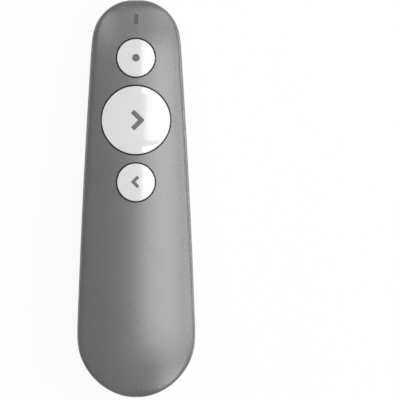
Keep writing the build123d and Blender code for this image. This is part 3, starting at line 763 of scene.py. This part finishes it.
@dataclass
class DotMark:
    """Round dot printed on the pointer's cap.

    Attributes:
        name: The piece's name.
        cap: CAD node it is printed on.
        body: Body it rides on.
        radius_mm: The dot's radius.
        station: Its middle, in millimetres from the nose tip.
        lift_mm: Height of the ink's underside above the cap.
        film_mm: Thickness of the ink.
        sides: Corners of its outline.
        rings: Rings inside it, so that the ink follows the cap's curve.
    """

    name: str = "pointer_dot_mark"
    cap: str = "pointer_button_cap"
    body: str = "pointer_button"
    radius_mm: float = 1.15
    station: float = POINTER_STATION
    lift_mm: float = 0.005
    film_mm: float = 0.02
    sides: int = 48
    rings: int = 3

    def build(self, nodes: dict[str, bpy.types.Object], ink: bpy.types.Material) -> None:
        """Models the dot from a filled circle and lays it on its cap.

        Args:
            nodes: CAD objects by node name.
            ink: The printed ink.
        """
        radius = self.radius_mm * MM
        bpy.ops.mesh.primitive_circle_add(vertices=self.sides, radius=radius, fill_type="NGON")
        piece = take_new(self.name)
        bpy.ops.object.mode_set(mode="EDIT")
        for _ in range(self.rings):
            bpy.ops.mesh.inset(thickness=radius / (self.rings + 1))
        bpy.ops.object.mode_set(mode="OBJECT")
        settle(piece, 0.0, self.station, ABOVE_FACE)
        lay_on(piece, nodes[self.cap], self.lift_mm, self.film_mm)
        freeze(piece, ink, self.body)


@dataclass
class LabelKeyline:
    """Thin dark line printed just inside the edge of the bare back label.

    Attributes:
        name: The piece's name.
        station: Its middle, in millimetres from the nose tip.
        width_mm: Outer width.
        length_mm: Outer length along the body.
        corner_mm: Outer corner radius.
        line_mm: Width of the line.
        lift_mm: Height of the ink's underside above the label.
        film_mm: Thickness of the ink.
        corner_steps: Facets of each corner.
        cuts: Subdivisions, so that the ink follows the back's curve.
    """

    name: str = "label_keyline"
    station: float = 28.5
    width_mm: float = 17.4
    length_mm: float = 20.6
    corner_mm: float = 1.5
    line_mm: float = 0.28
    lift_mm: float = 0.004
    film_mm: float = 0.015
    corner_steps: int = 8
    cuts: int = 14

    def build(self, nodes: dict[str, bpy.types.Object], ink: bpy.types.Material) -> None:
        """Models the line as a rounded frame and lays it on the label.

        Args:
            nodes: CAD objects by node name.
            ink: The printed ink.
        """
        bpy.ops.mesh.primitive_plane_add(size=MM)
        piece = take_new(self.name)
        piece.scale = (self.width_mm, self.length_mm, 1.0)
        bpy.ops.object.transform_apply(location=False, rotation=False, scale=True)
        bpy.ops.object.mode_set(mode="EDIT")
        bpy.ops.mesh.select_all(action="SELECT")
        bpy.ops.mesh.bevel(offset=self.corner_mm * MM, segments=self.corner_steps,
                           affect="VERTICES")
        bpy.ops.mesh.select_all(action="SELECT")
        bpy.ops.mesh.inset(thickness=self.line_mm * MM)
        bpy.ops.mesh.delete(type="FACE")
        bpy.ops.mesh.select_all(action="SELECT")
        bpy.ops.mesh.subdivide(number_cuts=self.cuts)
        bpy.ops.object.mode_set(mode="OBJECT")
        settle(piece, 0.0, self.station, BELOW_BACK, Side.BACK)
        lay_on(piece, nodes["rear_label"], self.lift_mm, self.film_mm)
        freeze(piece, ink, "housing")


# ------------------------------------------------------------------- cell and receiver
@dataclass
class BatteryCell:
    """Sleeved cell with rolled-over ends, in place of the plain can.

    Attributes:
        name: The piece's name.
        radius_mm: The sleeve's radius.
        length_mm: Length without the positive cap.
        station: Its nose end, in millimetres from the nose tip.
        across: Its axis, in millimetres to the right of the middle line.
        height: Its axis, in millimetres above the seam plane.
        sides: Facets round it.
        fold_mm: Radius of the rolled edge at each end.
        fold_steps: Facets of that edge.
        rim_mm: Width of the sleeve's flat rim.
        step_mm: Width of the slope inside the rim.
        sink_mm: How deep the end lies inside the rim.
        inner_mm: Width of the ring inside the slope.
    """

    name: str = "sleeved_cell"
    radius_mm: float = 5.25
    length_mm: float = 43.3
    station: float = 62.5
    across: float = -7.0
    height: float = -4.9
    sides: int = 96
    fold_mm: float = 0.45
    fold_steps: int = 4
    rim_mm: float = 0.9
    step_mm: float = 0.15
    sink_mm: float = 0.25
    inner_mm: float = 0.3

    def build(self, sleeve: bpy.types.Material) -> None:
        """Models the cell from a cylinder and lays it in the tray.

        Args:
            sleeve: The film's finish.
        """
        radius, length = self.radius_mm * MM, self.length_mm * MM
        bpy.ops.mesh.primitive_cylinder_add(vertices=self.sides, radius=radius, depth=length)
        piece = take_new(self.name)
        bpy.ops.object.mode_set(mode="EDIT")
        for sign in (1.0, -1.0):
            pick(piece, Element.FACE, lambda face: face.normal.z * sign > 0.9)
            bpy.ops.mesh.bevel(offset=self.fold_mm * MM, segments=self.fold_steps,
                               affect="EDGES")
            pick(piece, Element.FACE, lambda face: (face.normal.z * sign > 0.99
                                                    and face.center.xy.length < radius / 2))
            bpy.ops.mesh.inset(thickness=self.rim_mm * MM)
            bpy.ops.mesh.inset(thickness=self.step_mm * MM, depth=-self.sink_mm * MM)
            bpy.ops.mesh.inset(thickness=self.inner_mm * MM)
        bpy.ops.object.mode_set(mode="OBJECT")
        piece.rotation_euler = (math.radians(90.0 + DESIGN.tilt), 0.0, 0.0)
        piece.location = DESIGN.at(self.across, self.station + self.length_mm / 2, self.height)
        bpy.ops.object.shade_smooth_by_angle(angle=SMOOTH_ANGLE)
        freeze(piece, sleeve, "housing")
        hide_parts("battery_can")


@dataclass
class ReceiverGrip:
    """Receiver housing with softened edges and grip grooves on both sides.

    Attributes:
        name: The piece's name.
        width_mm: Size across.
        thickness_mm: Size square to the seam plane.
        length_mm: Size along the body.
        station: Its nose end, in millimetres from the nose tip.
        across: Its middle, in millimetres to the right of the middle line.
        height: Its middle, in millimetres above the seam plane.
        grooves: Grooves on each side.
        groove_mm: Width of a groove.
        pitch_mm: Spacing of the grooves.
        slope_mm: Width of a groove's sloping sides.
        groove_depth_mm: Depth of a groove.
        round_mm: Radius of the softened edges.
        round_steps: Facets of those edges.
        round_angle: Edges sharper than this are softened, in degrees.
    """

    name: str = "receiver_grip"
    width_mm: float = 13.0
    thickness_mm: float = 6.0
    length_mm: float = 7.0
    station: float = 86.2
    across: float = 5.75
    height: float = -3.2
    grooves: int = 3
    groove_mm: float = 0.5
    pitch_mm: float = 1.5
    slope_mm: float = 0.08
    groove_depth_mm: float = 0.25
    round_mm: float = 0.7
    round_steps: int = 4
    round_angle: float = 60.0

    def build(self, finish: bpy.types.Material) -> None:
        """Models the housing from a block and lays it behind the plug.

        Args:
            finish: The plastic's finish.
        """
        bpy.ops.mesh.primitive_cube_add(size=MM)
        piece = take_new(self.name)
        piece.scale = (self.width_mm, self.length_mm, self.thickness_mm)
        bpy.ops.object.transform_apply(location=False, rotation=False, scale=True)
        bpy.ops.object.mode_set(mode="EDIT")
        first, width = (1 - self.grooves) / 2 * self.pitch_mm * MM, self.groove_mm * MM
        centres = [first + i * self.pitch_mm * MM for i in range(self.grooves)]
        for edge in (centre + side * width for centre in centres for side in (-0.5, 0.5)):
            bpy.ops.mesh.select_all(action="SELECT")
            bpy.ops.mesh.bisect(plane_co=(0.0, edge, 0.0), plane_no=(0.0, 1.0, 0.0))
        pick(piece, Element.FACE, lambda face: (abs(face.normal.x) > 0.9
                                                and any(abs(face.center.y - centre) < width / 2
                                                        for centre in centres)))
        bpy.ops.mesh.inset(thickness=self.slope_mm * MM, depth=-self.groove_depth_mm * MM)
        bpy.ops.object.mode_set(mode="OBJECT")
        soft = piece.modifiers.new("soften", "BEVEL")
        soft.width = self.round_mm * MM
        soft.segments = self.round_steps
        soft.limit_method = "ANGLE"
        soft.angle_limit = math.radians(self.round_angle)
        soft.use_clamp_overlap = True
        finish_modifiers(piece)
        piece.rotation_euler = DESIGN.turn()
        piece.location = DESIGN.at(self.across, self.station + self.length_mm / 2, self.height)
        bpy.ops.object.shade_smooth_by_angle(angle=SMOOTH_ANGLE)
        freeze(piece, finish, "housing")
        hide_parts("receiver_housing")


# ------------------------------------------------------------------------- CAD nodes
@dataclass
class CadFinishes:
    """Which finish each carried-over CAD node wears.

    Attributes:
        worn: A finish and the nodes that wear it, by group.
    """

    worn: dict[str, tuple[Any, tuple[str, ...]]] = field(default_factory=lambda: {
        "shell": (SHELL_ABS, ("front_shell", "rear_shell", "battery_door")),
        "pointer_cap": (POINTER_CAP_ABS, ("pointer_button_cap",)),
        "next_cap": (NEXT_CAP_ABS, ("next_button_cap",)),
        "back_cap": (BACK_CAP_ABS, ("back_button_cap",)),
        "frame": (FRAME_ABS, ("battery_tray", "laser_holder", "switch_bodies")),
        "label": (LABEL_FILM, ("rear_label",)),
        "receiver": (RECEIVER_ABS, ("receiver_housing",)),
        "chips": (CHIP_EPOXY, ("radio_chip", "laser_driver_chip", "power_inductor")),
        "plungers": (PLUNGER_ACETAL, ("pointer_switch_plunger", "next_switch_plunger",
                                      "back_switch_plunger")),
        "steel": (NICKEL_STEEL, ("switch_covers", "crystal_can", "receiver_plug_shell",
                                 "laser_diode", "fixing_screws", "battery_positive_cap")),
        "springs": (SPRING_STEEL, ("battery_spring", "negative_contact_plate")),
        "contact": (SHADE_DARKENED_STEEL, ("positive_contact_plate",)),
        "board": (BOARD_MASK, ("main_board",)),
        "ceramic": (WHITE_CERAMIC, ("chip_antenna", "status_led")),
        "capacitors": (TAN_CERAMIC, ("chip_capacitors",)),
        "guide": (FROSTED_PC, ("light_pipe",)),
        "lens": (CLEAR_PC, ("laser_lens",)),
        "window": (RED_PC, ("laser_window",)),
        "barrel": (TURNED_BRASS, ("laser_barrel",)),
        "cell": (SLEEVE_FILM, ("battery_can",)),
        "tongue": (PLUG_NYLON, ("receiver_tongue",)),
        "gold": (GOLD_PLATE, ("receiver_contacts",)),
    })

    def dress(self, nodes: dict[str, bpy.types.Object]) -> dict[str, bpy.types.Material]:
        """Gives every CAD node its finish.

        Args:
            nodes: CAD objects by node name.

        Returns:
            The materials made, by group.
        """
        made = {}
        for group, (finish, names) in self.worn.items():
            made[group] = finish.build()
            for name in names:
                for place in nodes[name].material_slots:
                    place.material = made[group]
            log.info("dressed %s: %s", group, ", ".join(names))
        return made


# --------------------------------------------------------------------------- the studio
@dataclass(frozen=True)
class Softbox:
    """Rectangular lamp that faces the body, its sides in line with the body's length.

    Attributes:
        name: The lamp's name.
        spot: Its place in the drawing's directions, in metres from the body's middle.
        size: Its size across and along the body, in metres.
        watts: Its power.
    """

    name: str
    spot: tuple[float, float, float]
    size: tuple[float, float]
    watts: float

    def build(self, middle: Vector) -> None:
        """Adds the lamp.

        Args:
            middle: The body's middle.
        """
        data = bpy.data.lights.new(self.name, "AREA")
        data.shape = "RECTANGLE"
        data.size, data.size_y = self.size
        data.energy = self.watts
        lamp = bpy.data.objects.new(self.name, data)
        bpy.context.scene.collection.objects.link(lamp)
        lamp.location = middle + DESIGN.along(*self.spot)
        back = (lamp.location - middle).normalized()
        along = DESIGN.along(0.0, 1.0, 0.0)
        along = (along - back * along.dot(back)).normalized()
        lamp.rotation_euler = Matrix((along.cross(back), along, back)).transposed().to_euler()


SOFTBOXES = (
    # The key's left edge draws the step from light to white across the caps.
    Softbox("key_box", (0.272, 0.03, 1.17), (0.5, 0.56), 4.62),
    # The wing carries the face's sheen on to its right side.
    Softbox("wing_box", (0.82, 0.03, 0.86), (0.66, 0.55), 3.78),
    # Strips level with the seam light the side walls without glare on the face.
    Softbox("right_box", (1.15, 0.1, 0.0), (0.24, 0.8), 5.95),
    Softbox("left_box", (-1.15, 0.1, 0.0), (0.24, 0.8), 2.38),
    # The nose and the tail curve away from the key.
    Softbox("nose_box", (0.46, 0.7, 0.88), (1.0, 0.6), 4.9),
    Softbox("brow_box", (-0.42, 0.5, 1.0), (0.38, 0.5), 1.54),
    Softbox("tail_box", (0.47, -0.62, 0.9), (0.65, 0.6), 4.69),
)


@dataclass
class Studio:
    """Pale floor, seven soft boxes, a faint world and the camera.

    Attributes:
        frame_mm: Width of the picture at the body, in millimetres.
        centre_x: Middle of the picture across, in millimetres.
        centre_station: Middle of the picture along the body, in millimetres.
        girth_mm: Height of the body's middle above the seam plane.
        lens_mm: Focal length on the default sensor.
        clip: Nearest and furthest distance that the camera sees, in metres.
        floor_size: The floor's side, in metres.
        paper: The floor's colour.
        glow: Share of the floor's look that is plain white, which leaves the shadow.
        fill: The world's strength for everything but the camera.
    """

    frame_mm: float = 120.84
    centre_x: float = 19.24
    centre_station: float = 60.4
    girth_mm: float = 2.1
    lens_mm: float = 200.0
    clip: tuple[float, float] = (0.05, 20.0)
    floor_size: float = 6.0
    paper: str = "#F0F0F0"
    glow: float = 0.93
    fill: float = 0.07

    def floor(self) -> None:
        """Lays the pale floor that keeps the object's shadow."""
        bpy.ops.mesh.primitive_plane_add(size=self.floor_size)
        floor = take_new("studio_floor")
        material, tree, _ = new_material("Pale_floor")
        paper = add_node(tree, "ShaderNodeBsdfDiffuse", {"Color": linear(self.paper)})
        white = add_node(tree, "ShaderNodeEmission", {"Color": linear("#FFFFFF")})
        rays = add_node(tree, "ShaderNodeLightPath").outputs
        seen = add_node(tree, "ShaderNodeMath", {"operation": "MAXIMUM"},
                        {0: rays["Is Camera Ray"], 1: rays["Is Glossy Ray"]})
        either = add_node(tree, "ShaderNodeMath", {"operation": "MAXIMUM"},
                          {0: seen.outputs["Value"], 1: rays["Is Transmission Ray"]})
        share = add_node(tree, "ShaderNodeMath", {"operation": "MULTIPLY", 1: self.glow},
                         {0: either.outputs["Value"]})
        mix = add_node(tree, "ShaderNodeMixShader",
                       links={0: share.outputs["Value"], 1: paper.outputs["BSDF"],
                              2: white.outputs["Emission"]})
        add_node(tree, "ShaderNodeOutputMaterial", links={"Surface": mix.outputs["Shader"]})
        floor.data.materials.append(material)

    def world(self) -> None:
        """Sets a faint white world that looks plain white to the camera."""
        world = bpy.data.worlds.new("Studio_world")
        bpy.context.scene.world = world
        world.use_nodes = True
        tree = world.node_tree
        tree.nodes.clear()
        rays = add_node(tree, "ShaderNodeLightPath").outputs
        strength = add_node(tree, "ShaderNodeMapRange", {"To Min": self.fill, "To Max": 1.0},
                            {"Value": rays["Is Camera Ray"]})
        background = add_node(tree, "ShaderNodeBackground", {"Color": linear("#FFFFFF")},
                              {"Strength": strength.outputs["Result"]})
        add_node(tree, "ShaderNodeOutputWorld", links={"Surface": background.outputs[0]})

    def camera(self) -> None:
        """Looks square onto the button face, nose up, body left of the middle."""
        data = bpy.data.cameras.new("studio_camera")
        data.lens = self.lens_mm
        data.dof.use_dof = False
        data.clip_start, data.clip_end = self.clip
        camera = bpy.data.objects.new("studio_camera", data)
        bpy.context.scene.collection.objects.link(camera)
        away = self.frame_mm * MM * self.lens_mm / data.sensor_width
        target = DESIGN.at(self.centre_x, self.centre_station, self.girth_mm)
        camera.location = target + DESIGN.along(0.0, 0.0, away)
        camera.rotation_euler = DESIGN.turn()
        bpy.context.scene.camera = camera

    def build(self) -> None:
        """Sets up the whole studio."""
        self.floor()
        self.world()
        middle = DESIGN.at(0.0, self.centre_station, self.girth_mm)
        for softbox in SOFTBOXES:
            softbox.build(middle)
        self.camera()
        bpy.context.scene.view_settings.view_transform = "Standard"
        log.info("studio ready: %d lamps", len(SOFTBOXES))


def main() -> None:
    """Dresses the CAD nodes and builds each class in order."""
    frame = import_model()
    deselect_all()
    nodes = frame["nodes"]
    finishes = CadFinishes().dress(nodes)
    ink = ICON_INK.build()
    DotMark().build(nodes, ink)
    ChevronMark("next_arrow_mark", "next_button_cap", "next_button", tip_x=2.62,
                station=NEXT_STATION, arm_mm=4.47, stroke_mm=1.42,
                heading=Heading.RIGHT).build(nodes, ink)
    ChevronMark("back_arrow_mark", "back_button_cap", "back_button", tip_x=-1.52,
                station=54.97, arm_mm=2.7, stroke_mm=0.95,
                heading=Heading.LEFT).build(nodes, ink)
    LabelKeyline().build(nodes, KEYLINE_INK.build())
    BatteryCell().build(finishes["cell"])
    ReceiverGrip().build(finishes["receiver"])
    Studio().build()


if __name__ == "__main__":
    main()
